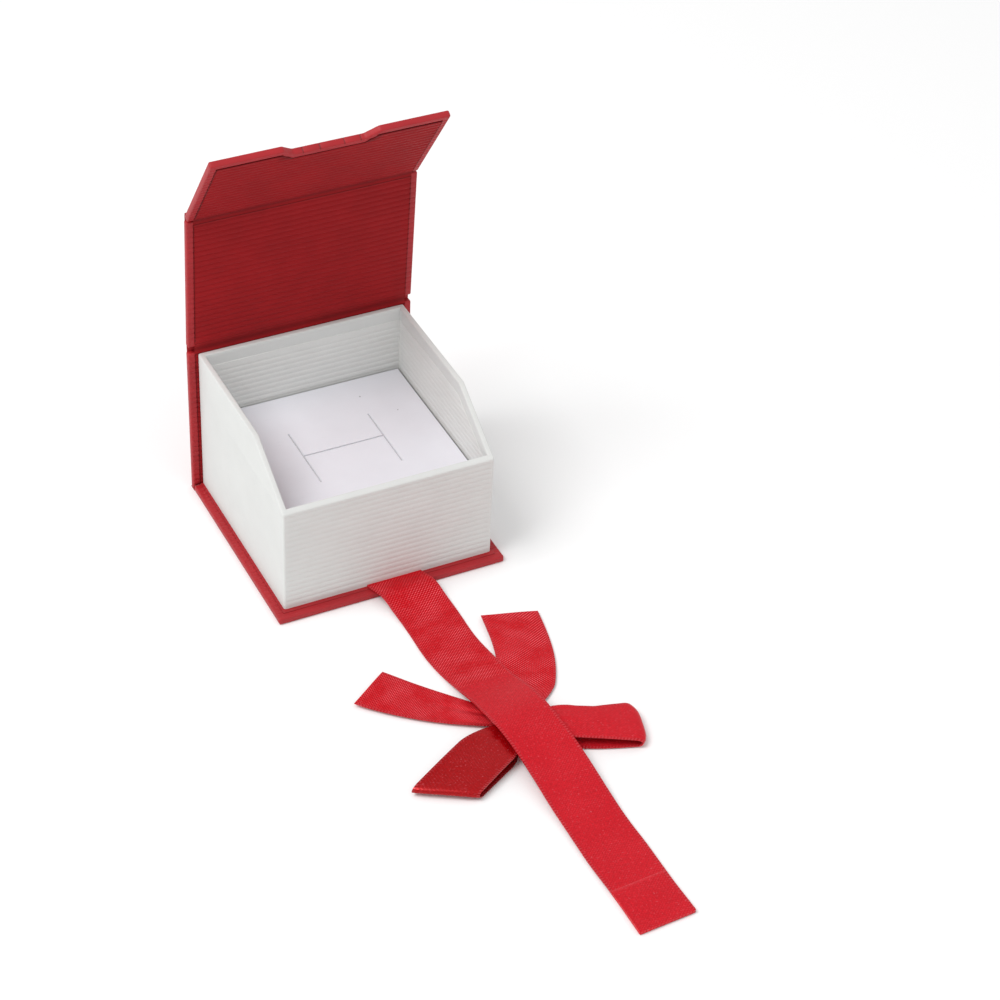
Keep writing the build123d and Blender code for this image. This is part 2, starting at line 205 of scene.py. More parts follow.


# satin: floats over a fine lattice of binding points, with painted highlights on the points in cloudy patches and
# painted shade in the gaps between them
def satin(name, colour, dots, gloss=0.38):
    n = Nodes(name)
    where = n.coordinates.outputs["UV"]
    parts = n.add("SeparateXYZ", {0: where})
    across, along = parts.outputs[0], parts.outputs[1]
    warp = n.wave(across, ribbonWeave["across"])
    weft = n.wave(along, ribbonWeave["along"])
    lattice = n.math("MULTIPLY", warp, weft)
    cloud = n.noise(n.stretched(where, (0.07, 0.11, 1.0)), 1.0, 2.0)
    fleck = n.noise(n.stretched(where, (2.2, 1.1, 1.0)), 1.0, 4.0, 0.7)
    # cloudy patches where the painted dot highlights show
    dotHighlightCloud = n.between(cloud, 0.4, 0.6)
    body = n.ramp(fleck, [(0.3, scaled(colour, 0.8)), (0.5, colour), (0.72, scaled(colour, 1.25))])
    point = n.between(lattice, 0.25, 0.9)
    # painted highlight on the binding points
    paintedDotHighlight = n.math("MULTIPLY", point, n.math("MULTIPLY_ADD", dotHighlightCloud, dots, 0.2 * dots))
    # painted shade in the gaps between the binding points
    paintedGapShade = n.between(lattice, -0.2, -0.8)
    body = n.mix(n.math("MULTIPLY", paintedGapShade, 0.55 * dots), body, scaled(colour, 0.45))
    body = n.mix(paintedDotHighlight, body, (min(1.0, colour[0] * 1.6), colour[1] + 0.17, colour[2] + 0.2))
    edge = n.math("GREATER_THAN", n.math("ABSOLUTE", across), ribbonWeave["selvage"])
    picot = n.math("MULTIPLY", edge, n.math("GREATER_THAN", n.wave(along, ribbonWeave["picot"]), 0.1))
    body = n.mix(n.math("MULTIPLY", edge, 0.4), body, scaled(colour, 0.6))
    body = n.mix(n.math("MULTIPLY", picot, 0.35), body, threadColoursAndHighlights["picot"])
    # painted highlight along the hem's pressed seam, where the hem sets its attribute
    seamHighlight = n.add("Attribute", attribute_name="seamHighlight").outputs["Fac"]
    body = n.mix(n.math("MULTIPLY", seamHighlight, 0.2), body, threadColoursAndHighlights["seamHighlight"])
    # painted glints: scattered light patches standing in for the satin's sheen
    glint = n.between(n.noise(where, 1.3, 2.0, 0.8), 0.6, 0.8)
    body = n.mix(n.math("MULTIPLY", glint, 0.5), body, threadColoursAndHighlights["glint"])
    grain = n.bump(fleck, 0.25, 0.00006)
    return n.finish(Base_Color=body, Roughness=n.range(fleck, gloss + 0.06, gloss - 0.06), Metallic=0.35,
                    Specular_IOR_Level=0.2 + 0.8 * (0.38 - gloss), Anisotropic=0.4,
                    Normal=n.bump(lattice, 0.1 + 0.4 * dots, 0.00007, grain))


# smooth coated card, faintly mottled and scuffed
def coatedCard(name, colour):
    n = Nodes(name)
    where = n.coordinates.outputs["Object"]
    mottle = n.noise(where, 70.0, 3.0)
    scuff = n.noise(n.stretched(where, (1.0, 4.0, 1.0)), 160.0, 5.0, 0.7)
    tone = n.ramp(mottle, [(0.3, scaled(colour, 0.96)), (0.7, colour)])
    marked = n.mix(n.range(n.math("GREATER_THAN", scuff, 0.68), 0.0, 0.12), tone, scaled(colour, 0.7))
    speck = n.math("GREATER_THAN", n.noise(where, 420.0, 0.0), 0.875)
    marked = n.mix(n.math("MULTIPLY", speck, 0.6), marked, scaled(colour, 0.3))
    return n.finish(Base_Color=marked, Roughness=n.range(scuff, 0.32, 0.46), Specular_IOR_Level=0.5,
                    Normal=n.bump(n.noise(where, 2200.0, 3.0), 0.12, 0.00003))


# the studio floor: matt white paint, barely uneven
def whitePaint(name, colour):
    n = Nodes(name)
    roller = n.noise(n.coordinates.outputs["Object"], 900.0, 3.0)
    tone = n.ramp(roller, [(0.3, scaled(colour, 0.995)), (0.7, colour)])
    return n.finish(Base_Color=tone, Roughness=n.range(roller, 0.85, 0.95), Specular_IOR_Level=0.1)


# open-cell foam, its colour painted grey so that the slits in the card above read as shade
def foam(name, colour):
    n = Nodes(name)
    where = n.coordinates.outputs["Object"]
    cells = n.add("TexVoronoi", {"Vector": where, "Scale": 1700.0}).outputs["Distance"]
    tone = n.ramp(cells, [(0.15, scaled(colour, 0.88)), (0.6, colour)])
    return n.finish(Base_Color=tone, Roughness=n.range(cells, 0.85, 0.95),
                    Normal=n.bump(cells, 0.6, 0.0003))


# pressed grey pulp with stray fibres
def pulpBoard(name, colour):
    n = Nodes(name)
    where = n.coordinates.outputs["Object"]
    pulp = n.noise(where, 700.0, 8.0, 0.7)
    stray = n.noise(n.stretched(where, (1.0, 0.12, 1.0)), 1600.0, 3.0)
    tone = n.ramp(pulp, [(0.3, scaled(colour, 0.75)), (0.7, scaled(colour, 1.15))])
    flecked = n.mix(n.range(n.math("GREATER_THAN", stray, 0.66), 0.0, 0.5), tone, scaled(colour, 0.5))
    return n.finish(Base_Color=flecked, Roughness=n.range(pulp, 0.85, 0.97),
                    Normal=n.bump(pulp, 0.4, 0.0001))


# nickel-plated disc, brushed by tumbling
def nickel(name, colour):
    n = Nodes(name)
    where = n.coordinates.outputs["Object"]
    scratch = n.noise(n.stretched(where, (1.0, 0.1, 1.0)), 2500.0, 5.0, 0.7)
    tone = n.ramp(scratch, [(0.3, scaled(colour, 0.85)), (0.7, scaled(colour, 1.05))])
    return n.finish(Base_Color=tone, Metallic=1.0, Roughness=n.range(scratch, 0.2, 0.38),
                    Normal=n.bump(scratch, 0.15, 0.00003))


redPaper = ribbedPaper("redRibbedPaper", (0.4, 0.012, 0.018), 0.07, 0.42, 0.4)
# the same red paper painted darker as shade, with less sheen, for the liners inside the case
redLinerPaintedShade = ribbedPaper("redRibbedLinerPaintedShade", (0.31, 0.006, 0.009), 0.08, 0.5, 0.16)
whitePaper = ribbedPaper("whiteRibbedPaper", (0.69, 0.7, 0.685), 0.02, 0.5, 0.3)
# satin with strong painted highlights on its binding points, for the tails and the strap's first two stretches
wovenSatinPaintedHighlights = satin("redSatinWovenPaintedHighlights", (0.63, 0.002, 0.009), 1.0)
# the same satin with faint painted dot highlights
redSatin = satin("redSatin", (0.62, 0.01, 0.02), 0.12)
# the satin's smooth face with its colour painted darker as shade, for the left loop
smoothSatinPaintedShade = satin("redSatinSmoothPaintedShade", (0.39, 0.001, 0.003), 0.08, 0.24)
cardStock = coatedCard("insertCardStock", (0.82, 0.83, 0.88))
# foam painted grey: painted shade for the card's slits
foamPaintedSlitShade = foam("foamPaintedSlitShade", (0.62, 0.62, 0.64))
# the same white paper painted lighter, making up for the shade inside the tray, for the tray's lining
whiteLinerPaintedLight = ribbedPaper("whiteRibbedLinerPaintedLight", (0.75, 0.755, 0.735), 0.02, 0.5, 0.3)
greyBoard = pulpBoard("greyboard", (0.33, 0.31, 0.28))
plating = nickel("nickelPlating", (0.72, 0.7, 0.67))
floorFinish = whitePaint("studioFloor", (0.95, 0.95, 0.95))
cadFinish = {
    "greyboard": greyBoard, "red_ribbed_paper": redPaper, "white_ribbed_paper": whitePaper,
    "insert_card_stock": cardStock, "foam": foamPaintedSlitShade, "red_satin": redSatin, "magnet": plating,
}
print("materials")


# mesh helpers
def makePiece(name, bm, finish, sharpAngle=38):
    mesh = bpy.data.meshes.new(name)
    bm.to_mesh(mesh)
    bm.free()
    mesh.materials.append(finish)
    mesh.shade_smooth()
    mesh.set_sharp_from_angle(angle=radians(sharpAngle))
    piece = bpy.data.objects.new(name, mesh)
    scene.collection.objects.link(piece)
    return piece


def cut(bm, place, direction, **sides):
    bmesh.ops.bisect_plane(bm, geom=bm.verts[:] + bm.edges[:] + bm.faces[:], dist=1e-7,
                           plane_co=place, plane_no=direction, **sides)


def roundEdges(bm, edges, radius, segments=3):
    bmesh.ops.bevel(bm, geom=edges, offset=radius, segments=segments, profile=0.5, affect="EDGES",
                    material=-1, clamp_overlap=True)


# gives a sheet its thickness, keeping crisp edges
def thicken(piece, thickness, sharpAngle=60):
    solid = piece.modifiers.new("thickness", "SOLIDIFY")
    solid.thickness = thickness
    solid.offset = 0
    mesh = bpy.data.meshes.new_from_object(piece.evaluated_get(bpy.context.evaluated_depsgraph_get()))
    piece.modifiers.clear()
    piece.data = mesh
    mesh.shade_smooth()
    mesh.set_sharp_from_angle(angle=radians(sharpAngle))


# a smooth curve through (place, value) knots
def follow(knots, at):
    last = len(knots) - 2
    i = next((k for k in range(last + 1) if at <= knots[k + 1][0]), last)
    (x0, y0), (x1, y1) = knots[i], knots[i + 1]
    before, after = knots[max(i - 1, 0)], knots[min(i + 2, last + 1)]
    run = x1 - x0
    m0 = run * (y1 - before[1]) / (x1 - before[0])
    m1 = run * (after[1] - y0) / (after[0] - x0)
    t = min(max((at - x0) / run, 0.0), 1.0)
    return ((2 * t ** 3 - 3 * t ** 2 + 1) * y0 + (t ** 3 - 2 * t ** 2 + t) * m0
            + (3 * t ** 2 - 2 * t ** 3) * y1 + (t ** 3 - t ** 2) * m1)


ribs = {"pitch": 1.7 * mm, "steps": 8, "groove": 0.12 * mm, "crown": 0.045 * mm,
        "sharpness": 0.15, "fade": 0.7 * mm}


# embossed ribs: rounded crests between narrow grooves, one rib every pitch along a direction
def emboss(bm, direction, low, high, faces, depth=1.0, reach=1.0):
    step = ribs["pitch"] / ribs["steps"]
    for k in range(1, int((high - low) / step)):
        cut(bm, direction * (low + k * step), direction)
    for vert in bm.verts:
        phase = ((vert.co.dot(direction) - low) / ribs["pitch"]) % 1.0
        away = min(phase, 1 - phase)
        rise = ribs["crown"] * sin(pi * phase) - ribs["groove"] * exp(-((away / ribs["sharpness"]) ** 2))
        rise *= min(1.0, max(0.0, (reach - abs(vert.co.x)) / ribs["fade"]))
        for normal, place in faces:
            if abs(vert.co.dot(normal) - place) < 1e-6:
                vert.co += normal * rise * depth
                break


# the case: wrapped panels and their liners
baseLow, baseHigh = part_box("base_wrap")
spineLow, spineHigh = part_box("spine_wrap")
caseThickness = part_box("base_liner")[1].z
wrapThickness = baseHigh.z - baseLow.z
caseWidth = baseHigh.x - baseLow.x
linerMargin = caseWidth / 2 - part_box("base_liner")[1].x
creasePlace, hingePlace = jointPlace["flap_hinge"], jointPlace["lid_hinge"]
lidUp = (creasePlace - hingePlace).normalized()
flapUp = Matrix.Rotation(radians(-jointRange["flap_hinge"][0]), 3, "X") @ lidUp
halfPaper = 0.1 * mm


def outwardOf(up):
    return Matrix.Rotation(radians(-90), 3, "X") @ up


def reachAlong(node, origin, up):
    return max((v.co - origin).dot(up) for v in frame["nodes"][node].data.vertices)


lidOrigin = hingePlace + outwardOf(lidUp) * halfPaper
flapOrigin = creasePlace + outwardOf(flapUp) * halfPaper
lidStart, lidEnd = 0.3 * mm, reachAlong("lid_wrap", lidOrigin, lidUp)
# far: the covering paper is turned in over the far edge; cover: the wrap laps past a board's bare ends;
# shy: the liner stops short of a fold
panels = {
    "base": {"origin": Vector((0, spineHigh.y, 0)), "up": Vector((0, -1, 0)), "outward": Vector((0, 0, -1)),
             "body": "box", "start": spineHigh.y - baseHigh.y, "end": spineHigh.y - baseLow.y, "far": True,
             "cover": (0, 0), "shy": (0, 0), "finish": redPaper},
    "spine": {"origin": Vector((0, spineHigh.y, 0)), "up": Vector((0, 0, 1)), "body": "box",
              "start": spineLow.z, "end": spineHigh.z, "far": False, "cover": (0, 0.2 * mm), "shy": (0, 0),
              "finish": redLinerPaintedShade},
    "lid": {"origin": lidOrigin, "up": lidUp, "body": "lid", "start": lidStart, "end": lidEnd, "far": False,
            "cover": (0.2 * mm, 0.2 * mm), "shy": (0.7 * mm, 0.5 * mm), "finish": redLinerPaintedShade},
    "flap": {"origin": flapOrigin, "up": flapUp, "body": "flap", "start": 1.0 * mm,
             "end": reachAlong("flap_wrap", flapOrigin, flapUp), "far": True, "cover": (0.2 * mm, 0),
             "shy": (0.5 * mm, 0), "finish": redLinerPaintedShade},
}
notch = {
    "width": 27 * mm,
    "floor": 20 * mm,
    "depth": 3 * mm,
    "tucks": (-8.8, -4.2, 2.6, 7.4),
    "tuckLength": 0.7 * mm,
    "tuckWidth": 0.25 * mm,
    "tuckDepth": 0.12 * mm,
}
# lap: how far a liner sinks into its wrap; firstRib and lastRib: where the ribs start and stop
plates = {
    "wrapRadius": 0.45 * mm,
    "linerRadius": 0.09 * mm,
    "linerRibs": 1.5,
    "lap": 0.05 * mm,
    "edgeShade": 0.45 * mm,
    "firstRib": 1.2 * mm,
    "lastRib": 1.0 * mm,
}


# a panel's outline seen from outside; the flap's far edge has its notch
def outlineOf(name, inset, farInset, near, past):
    panel = panels[name]
    side, far = caseWidth / 2 - inset, panel["end"] - farInset + past
    points = [(-side, panel["start"] + near), (side, panel["start"] + near), (side, far)]
    if name == "flap":
        points += [(notch["width"] / 2, far), (notch["floor"] / 2, far - notch["depth"]),
                   (-notch["floor"] / 2, far - notch["depth"]), (-notch["width"] / 2, far)]
    return points + [(-side, far)]


# distance from a point to a straight edge
def toSegment(co, a, b):
    t = min(1.0, max(0.0, (co - a).dot(b - a) / (b - a).length_squared))
    return (co - a - (b - a) * t).length


# the covering paper's snipped tucks along the notch, pressed in and darkened with painted shade
def tuck(bm, x, floor, shade):
    for k in (-notch["tuckWidth"], 0, notch["tuckWidth"]):
        cut(bm, (x + k, 0, 0), (1, 0, 0))
    for vert in bm.verts:
        deep = (vert.co.y - floor) / notch["tuckLength"] + 1
        if abs(vert.co.x - x) < 1e-6 and deep > 0:
            vert.co.y -= notch["tuckDepth"] * deep
            vert[shade] = 1.0


# a ribbed plate between two levels below the panel's outer face, turned into its place
def plate(name, inset, farInset, top, bottom, radius, bothFaces):
    panel = panels[name]
    near, past = -panel["cover"][0], panel["cover"][1]
    if not bothFaces:
        near, past = panel["shy"][0], -panel["shy"][1]
    outline = [Vector((x, y, 0)) for x, y in outlineOf(name, inset, farInset, near, past)]
    bm = bmesh.new()
    face = bm.faces.new([bm.verts.new((co.x, co.y, bottom)) for co in outline])
    grown = bmesh.ops.extrude_face_region(bm, geom=[face])
    bmesh.ops.translate(bm, verts=[v for v in grown["geom"] if isinstance(v, bmesh.types.BMVert)],
                        vec=(0, 0, top - bottom))
    bmesh.ops.recalc_face_normals(bm, faces=bm.faces[:])
    upright = [e for e in bm.edges if abs(e.verts[0].co.z - e.verts[1].co.z) > 1e-6]
    roundEdges(bm, upright, radius)
    rim = [e for e in bm.edges if abs(e.verts[0].co.z - e.verts[1].co.z) < 1e-7
           and any(abs(f.normal.z) > 0.9 for f in e.link_faces)
           and any(abs(f.normal.z) < 0.1 for f in e.link_faces)
           and (bothFaces or abs(e.verts[0].co.z - bottom) < 1e-7)]
    roundEdges(bm, rim, radius)

    # rows of vertices near the edges, where shade and ribs fade out
    strip = plates["edgeShade"]
    for offset in (strip, 1.6 * mm, caseWidth * 0.25):
        for side in (-1, 1):
            cut(bm, (side * (caseWidth / 2 - inset - offset), 0, 0), (1, 0, 0))
    low, high = panel["start"] + near, panel["end"] - farInset + past
    for y in (low + strip, high - strip, high - notch["depth"] - strip):
        cut(bm, (0, y, 0), (0, 1, 0))
    faces = [(Vector((0, 0, -1)), -bottom)] + ([(Vector((0, 0, 1)), top)] if bothFaces else [])
    emboss(bm, Vector((0, 1, 0)), panel["start"] + plates["firstRib"],
           panel["end"] - farInset - plates["lastRib"], faces, 1.0 if bothFaces else plates["linerRibs"])
    shade = bm.verts.layers.float.new("edge")
    if bothFaces and name == "flap":
        for x in notch["tucks"]:
            tuck(bm, x * mm, high - notch["depth"], shade)
    # painted shade along each liner's outline, a dark line for the shade in the groove beside the border; weaker
    # on the base
    if not bothFaces:
        for vert in bm.verts:
            flat = vert.co.xy.to_3d()
            away = min(toSegment(flat, a, b) for a, b in zip(outline, outline[1:] + outline[:1]))
            vert[shade] = max(0.0, 1 - away / strip) * (0.3 if name == "base" else 1.0)
    up, outward = panel["up"], panel.get("outward") or outwardOf(panel["up"])
    turn = Matrix((up.cross(outward), up, outward)).transposed().to_4x4()
    bmesh.ops.transform(bm, matrix=Matrix.Translation(panel["origin"]) @ turn, verts=bm.verts[:])
    return bm


for name, panel in panels.items():
    covering = plate(name, 0, 0, 0, -wrapThickness, plates["wrapRadius"], True)
    wrap = makePiece(name + "Wrap", covering, redPaper)
    farMargin = linerMargin if panel["far"] else 0
    pasted = plate(name, linerMargin, farMargin, -wrapThickness + plates["lap"], -caseThickness,
                   plates["linerRadius"], False)
    liner = makePiece(name + "Liner", pasted, panel["finish"])
    for piece, node in ((wrap, name + "_wrap"), (liner, name + "_liner")):
        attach(piece, panel["body"])
        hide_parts(node)
print("case panels")


# pasted: the share of a liner strip that lies flat at either end; shade: how dark the painted shade down the
# groove is, how wide
folds = {
    "sideInset": 0.25 * mm,
    "paper": 0.28 * mm,
    "liner": 0.16 * mm,
    "linerDepth": 0.2 * mm,
    "pasted": 0.2,
    "shade": (0.6, 0.16),
}


# covering paper bending at a fold: a thin sheet that rolls between two panels
def foldSheet(name, node, origin, up, low, high, bodies, bulge):
    outward = outwardOf(up)
    bm = bmesh.new()
    bmesh.ops.create_grid(bm, x_segments=24, y_segments=10, size=1)
    for vert in bm.verts:
        v = (vert.co.y + 1) / 2
        along, swell = low + (high - low) * v, bulge * sin(pi * v)
        side = -vert.co.x * (caseWidth / 2 - folds["sideInset"])
        vert.co = origin + Vector((side, 0, 0)) + up * along + outward * swell
    piece = makePiece(name, bm, redPaper)
    thicken(piece, folds["paper"])
    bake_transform(piece)
    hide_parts(node)


hingeOrigin = Vector((0, hingePlace.y, spineHigh.z))
foldPapers = {
    "hingePaper": {
        "node": "lid_hinge_fold",
        "origin": hingeOrigin - Vector((0, halfPaper, 0)),
        "up": Vector((0, 0, 1)),
        "low": -0.5 * mm,
        "high": hingePlace.z - spineHigh.z + 0.9 * mm,
        "bodies": ("box", "lid"),
        "bulge": 0.0,
    },
    "creasePaper": {
        "node": "flap_crease_fold",
        "origin": creasePlace - outwardOf(lidUp) * 0.15 * mm,
        "up": lidUp,
        "low": -1.6 * mm,
        "high": 1.4 * mm,
        "bodies": ("lid", "flap"),
        "bulge": 0.15 * mm,
    },
}
for name, part in foldPapers.items():
    foldSheet(name, **part)


# the liner crossing a fold: pressed into the groove between two boards
def foldLiner(name, place, upA, upB, spread, overlap, dip, bodies):
    level = caseThickness - folds["linerDepth"]
    inA, inB = -outwardOf(upA), -outwardOf(upB)
    near = place[0] - upA * spread[0] + inA * level
    far = place[1] + upB * spread[1] + inB * level
    deepest = (near + far) / 2 - (inA + inB).normalized() * 2 * dip
    bm = bmesh.new()
    bmesh.ops.create_grid(bm, x_segments=24, y_segments=26, size=1)
    shade = bm.verts.layers.float.new("edge")
    (dark, width), pasted = folds["shade"], folds["pasted"]
    for vert in bm.verts:
        v = (vert.co.y + 1) / 2
        # painted shade down the middle of the groove between the boards
        vert[shade] = dark * exp(-(((v - 0.5) / width) ** 2))
        t = min(1.0, max(0.0, (v - pasted) / (1 - 2 * pasted)))
        co = near * (1 - t) ** 2 + deepest * 2 * t * (1 - t) + far * t * t
        co -= upA * overlap * max(0.0, 1 - v / pasted)
        co += upB * overlap * max(0.0, (v - 1 + pasted) / pasted)
        vert.co = co + Vector((-vert.co.x * (caseWidth / 2 - linerMargin), 0, 0))
    piece = makePiece(name, bm, redLinerPaintedShade)
    thicken(piece, folds["liner"])
    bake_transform(piece)


foldLiners = {
    "hingeLiner": {
        "place": (hingeOrigin, hingePlace),
        "upA": Vector((0, 0, 1)),
        "upB": lidUp,
        "spread": (0.2 * mm, 0.9 * mm),
        "overlap": 1.0 * mm,
        "dip": 0.35 * mm,
        "bodies": ("box", "lid"),
    },
    "creaseLiner": {
        "place": (creasePlace, creasePlace),
        "upA": lidUp,
        "upB": flapUp,
        "spread": (1.5 * mm, 1.5 * mm),
        "overlap": 0.8 * mm,
        "dip": 0.4 * mm,
        "bodies": ("lid", "flap"),
    },
}
for name, part in foldLiners.items():
    foldLiner(name, **part)
print("folds")

# the tray: wrapped shell with a slanted front rim, and its ribbed lining
trayLow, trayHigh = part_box("tray_wrap")
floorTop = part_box("insert_pad")[0].z - 0.3 * mm
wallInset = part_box("tray_rim_turn_in")[1].x
tray = {
    "wall": trayHigh.x - wallInset + 0.06 * mm,
    "corner": 0.6 * mm,
    "rim": 0.4 * mm,
    "floor": floorTop + 0.03 * mm,
    "firstRib": trayLow.z + 0.6 * mm,
    "lastRib": trayHigh.z - 1.0 * mm,
}
liningBox = {
    "inset": tray["wall"] - 0.02 * mm,
    "drop": 4.0 * mm,
    "paper": 0.1 * mm,
    "rim": 0.06 * mm,
    "under": floorTop + 0.01 * mm,
    "floor": floorTop + 0.15 * mm,
    "firstRib": floorTop + 1.2 * mm,
    "ribs": 0.8,
}
# the rim is level from the back to rimBreak, then slants down to frontRim
rimVerts = [v.co for v in frame["nodes"]["tray_wrap"].data.vertices if v.co.z > trayHigh.z - 1e-5]
rimBreak = min(v.y for v in rimVerts)
frontRim = max(v.co.z for v in frame["nodes"]["tray_wrap"].data.vertices if v.co.y < trayLow.y + 1e-5)
slope = Vector((0, rimBreak - trayLow.y, trayHigh.z - frontRim)).normalized()
slopeNormal = Vector((0, -slope.z, slope.y))


# an open box whose front rim slants; drop lowers the rim, floor is the level inside
def openBox(inset, drop, wall, bottom, floor, cornerRadius, rimRadius):
    low = Vector((trayLow.x + inset, trayLow.y + inset, bottom))
    high = Vector((trayHigh.x - inset, trayHigh.y - inset, trayHigh.z - drop))
    bm = bmesh.new()
    bmesh.ops.create_cube(bm, size=1)
    bmesh.ops.scale(bm, vec=high - low, verts=bm.verts[:])
    bmesh.ops.translate(bm, vec=(low + high) / 2, verts=bm.verts[:])
    onSlope = Vector((0, rimBreak, trayHigh.z - drop))
    cut(bm, onSlope, slopeNormal, clear_outer=True)
    bmesh.ops.holes_fill(bm, edges=[e for e in bm.edges if e.is_boundary])
    bmesh.ops.recalc_face_normals(bm, faces=bm.faces[:])
    top = [f for f in bm.faces if f.normal.z > 0.5]
    bmesh.ops.inset_region(bm, faces=top, thickness=wall, use_even_offset=True)
    inner = {v for f in top for v in f.verts}
    for vert in inner:
        x = (high.x - wall) * (1 if vert.co.x > 0 else -1)
        y = vert.co.y
        if y < low.y + 3 * wall:
            y = low.y + wall
        elif y > high.y - 3 * wall:
            y = high.y - wall
        z = min(onSlope.z, onSlope.z + (y - onSlope.y) * slope.z / slope.y)
        vert.co = (x, y, z)
    grown = bmesh.ops.extrude_face_region(bm, geom=top)
    bmesh.ops.delete(bm, geom=top, context="FACES_ONLY")
    for vert in (v for v in grown["geom"] if isinstance(v, bmesh.types.BMVert)):
        vert.co.z = floor
    bmesh.ops.recalc_face_normals(bm, faces=bm.faces[:])
    upright = [e for e in bm.edges if hypot(*(e.verts[0].co - e.verts[1].co).xy) < 1e-6]
    corners = [e for e in upright if abs(e.verts[0].co.x) > high.x - 1e-5]
    if cornerRadius:
        roundEdges(bm, corners, cornerRadius, 5)
    rim = [e for e in bm.edges if len([f for f in e.link_faces if f.normal.z > 0.5 and
                                       f.calc_center_median().z > floor + 5 * mm]) == 1]
    roundEdges(bm, rim, rimRadius)
    for side in (-1, 1):
        cut(bm, (side * (high.x - ribs["fade"] - cornerRadius), 0, 0), (1, 0, 0))
    for y in (low.y + ribs["fade"] + cornerRadius, high.y - ribs["fade"] - cornerRadius):
        cut(bm, (0, y, 0), (0, 1, 0))
    return bm, low, high


shell, low, high = openBox(0, 0, tray["wall"], trayLow.z, tray["floor"], tray["corner"], tray["rim"])
emboss(shell, Vector((0, 0, 1)), tray["firstRib"], tray["lastRib"],
       [(Vector((0, -1, 0)), -low.y), (Vector((0, 1, 0)), high.y)], 1.0, high.x - tray["corner"])
trayWrap = makePiece("trayWrap", shell, whitePaper)
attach(trayWrap, "box")
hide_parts("tray_wrap", "tray_rim_turn_in")

lining, low, high = openBox(liningBox["inset"], liningBox["drop"], liningBox["paper"],
                            liningBox["under"], liningBox["floor"], 0, liningBox["rim"])
paper = liningBox["paper"]
emboss(lining, Vector((0, 0, 1)), liningBox["firstRib"], high.z - 1.0 * mm,
       [(Vector((0, 1, 0)), low.y + paper), (Vector((0, -1, 0)), -(high.y - paper)),
        (Vector((1, 0, 0)), low.x + paper), (Vector((-1, 0, 0)), -(high.x - paper))], liningBox["ribs"])
trayLining = makePiece("trayLining", lining, whiteLinerPaintedLight)
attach(trayLining, "box")
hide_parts("tray_liner")
print("tray")

# the insert: a foam pad with softened, slightly hollow sides under the slit card
padLow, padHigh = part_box("insert_pad")
padShape = {
    "ease": 0.4 * mm,
    "radius": 1.2 * mm,
    "side": 0.6 * mm,
    "hollow": 0.15 * mm,
    "ripple": 0.12 * mm,
}
bm = bmesh.new()
bmesh.ops.create_cube(bm, size=1)
bmesh.ops.scale(bm, vec=padHigh - padLow - Vector((1, 1, 0)) * padShape["ease"], verts=bm.verts[:])
bmesh.ops.translate(bm, vec=(padLow + padHigh) / 2, verts=bm.verts[:])
roundEdges(bm, bm.edges[:], padShape["radius"])
long = [e for e in bm.edges if e.calc_length() > 8 * mm]
bmesh.ops.subdivide_edges(bm, edges=long, cuts=30, use_grid_fill=True)
bmesh.ops.recalc_face_normals(bm, faces=bm.faces[:])
for vert in bm.verts:
    inside = min(padHigh.x - abs(vert.co.x), vert.co.y - padLow.y, padHigh.y - vert.co.y)
    if inside < padShape["side"]:
        waist = sin(pi * (vert.co.z - padLow.z) / (padHigh.z - padLow.z))
        ripple = noise.noise(vert.co * 220) * padShape["ripple"]
        vert.co += Vector((vert.co.x, vert.co.y, 0)).normalized() * (ripple - padShape["hollow"] * waist)
pad = makePiece("foamPad", bm, foamPaintedSlitShade)
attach(pad, "insert")
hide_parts("insert_pad")
print("insert")

# the ribbon strap, laid out in front of the box
exitFold, edgeFold = jointPlace["strap_exit_hinge"], jointPlace["strap_edge_hinge"]
creaseFold, spineFold = jointPlace["strap_crease_hinge"], jointPlace["strap_spine_hinge"]
heading = Vector(((spineFold - exitFold).x, (spineFold - exitFold).y, 0)).normalized()
sideways = Vector((-heading.y, heading.x, 0))
ribbon = {
    "halfWidth": 8.0 * mm,
    "thickness": 0.36 * mm,
    # sideways wander and height in millimetres along the strap, from the exit
    "drift": [(0, 0.0), (7, 1.6), (16, 2.1), (31, 1.35), (50, 2.5), (64, 2.4), (80, 2.7), (95, 2.2),
              (110, 1.5), (125, 0.9), (142, 0.2)],
    "height": [(-1, 2.4), (1, 2.42), (3.2, 2.68), (5, 2.72), (7.4, 2.2), (10, 1.3), (14, 0.6), (19, 0.36),
               (38, 0.4), (48, 1.5), (57, 4.0), (64.5, 5.35), (72, 5.0), (84, 3.2), (96, 1.5), (109, 0.75),
               (127, 0.7), (143, 0.7)],
}


# a place on the strap, u from -1 to 1 across and s millimetres along, with its weave coordinates
def onStrap(u, s):
    middle = Vector((exitFold.x, exitFold.y, 0)) + heading * s * mm
    middle += sideways * follow(ribbon["drift"], s) * mm
    height = follow(ribbon["height"], s)
    free = min(1.0, max(0.0, (s - 6) / 10)) * min(1.0, max(0.0, (128 - s) / 12))
    curl = free * (0.1 * u * u + 0.1 * sin(s / 7.0 + 1.5 * u) * u + 0.08 * sin(s / 3.1 + u * 2.0))
    edge = ribbon["halfWidth"] * (1 + 0.01 * sin(s / 4.3))
    place = middle + sideways * edge * u + Vector((0, 0, (height + curl) * mm))
    return place, (u * ribbonWeave["half"], s)


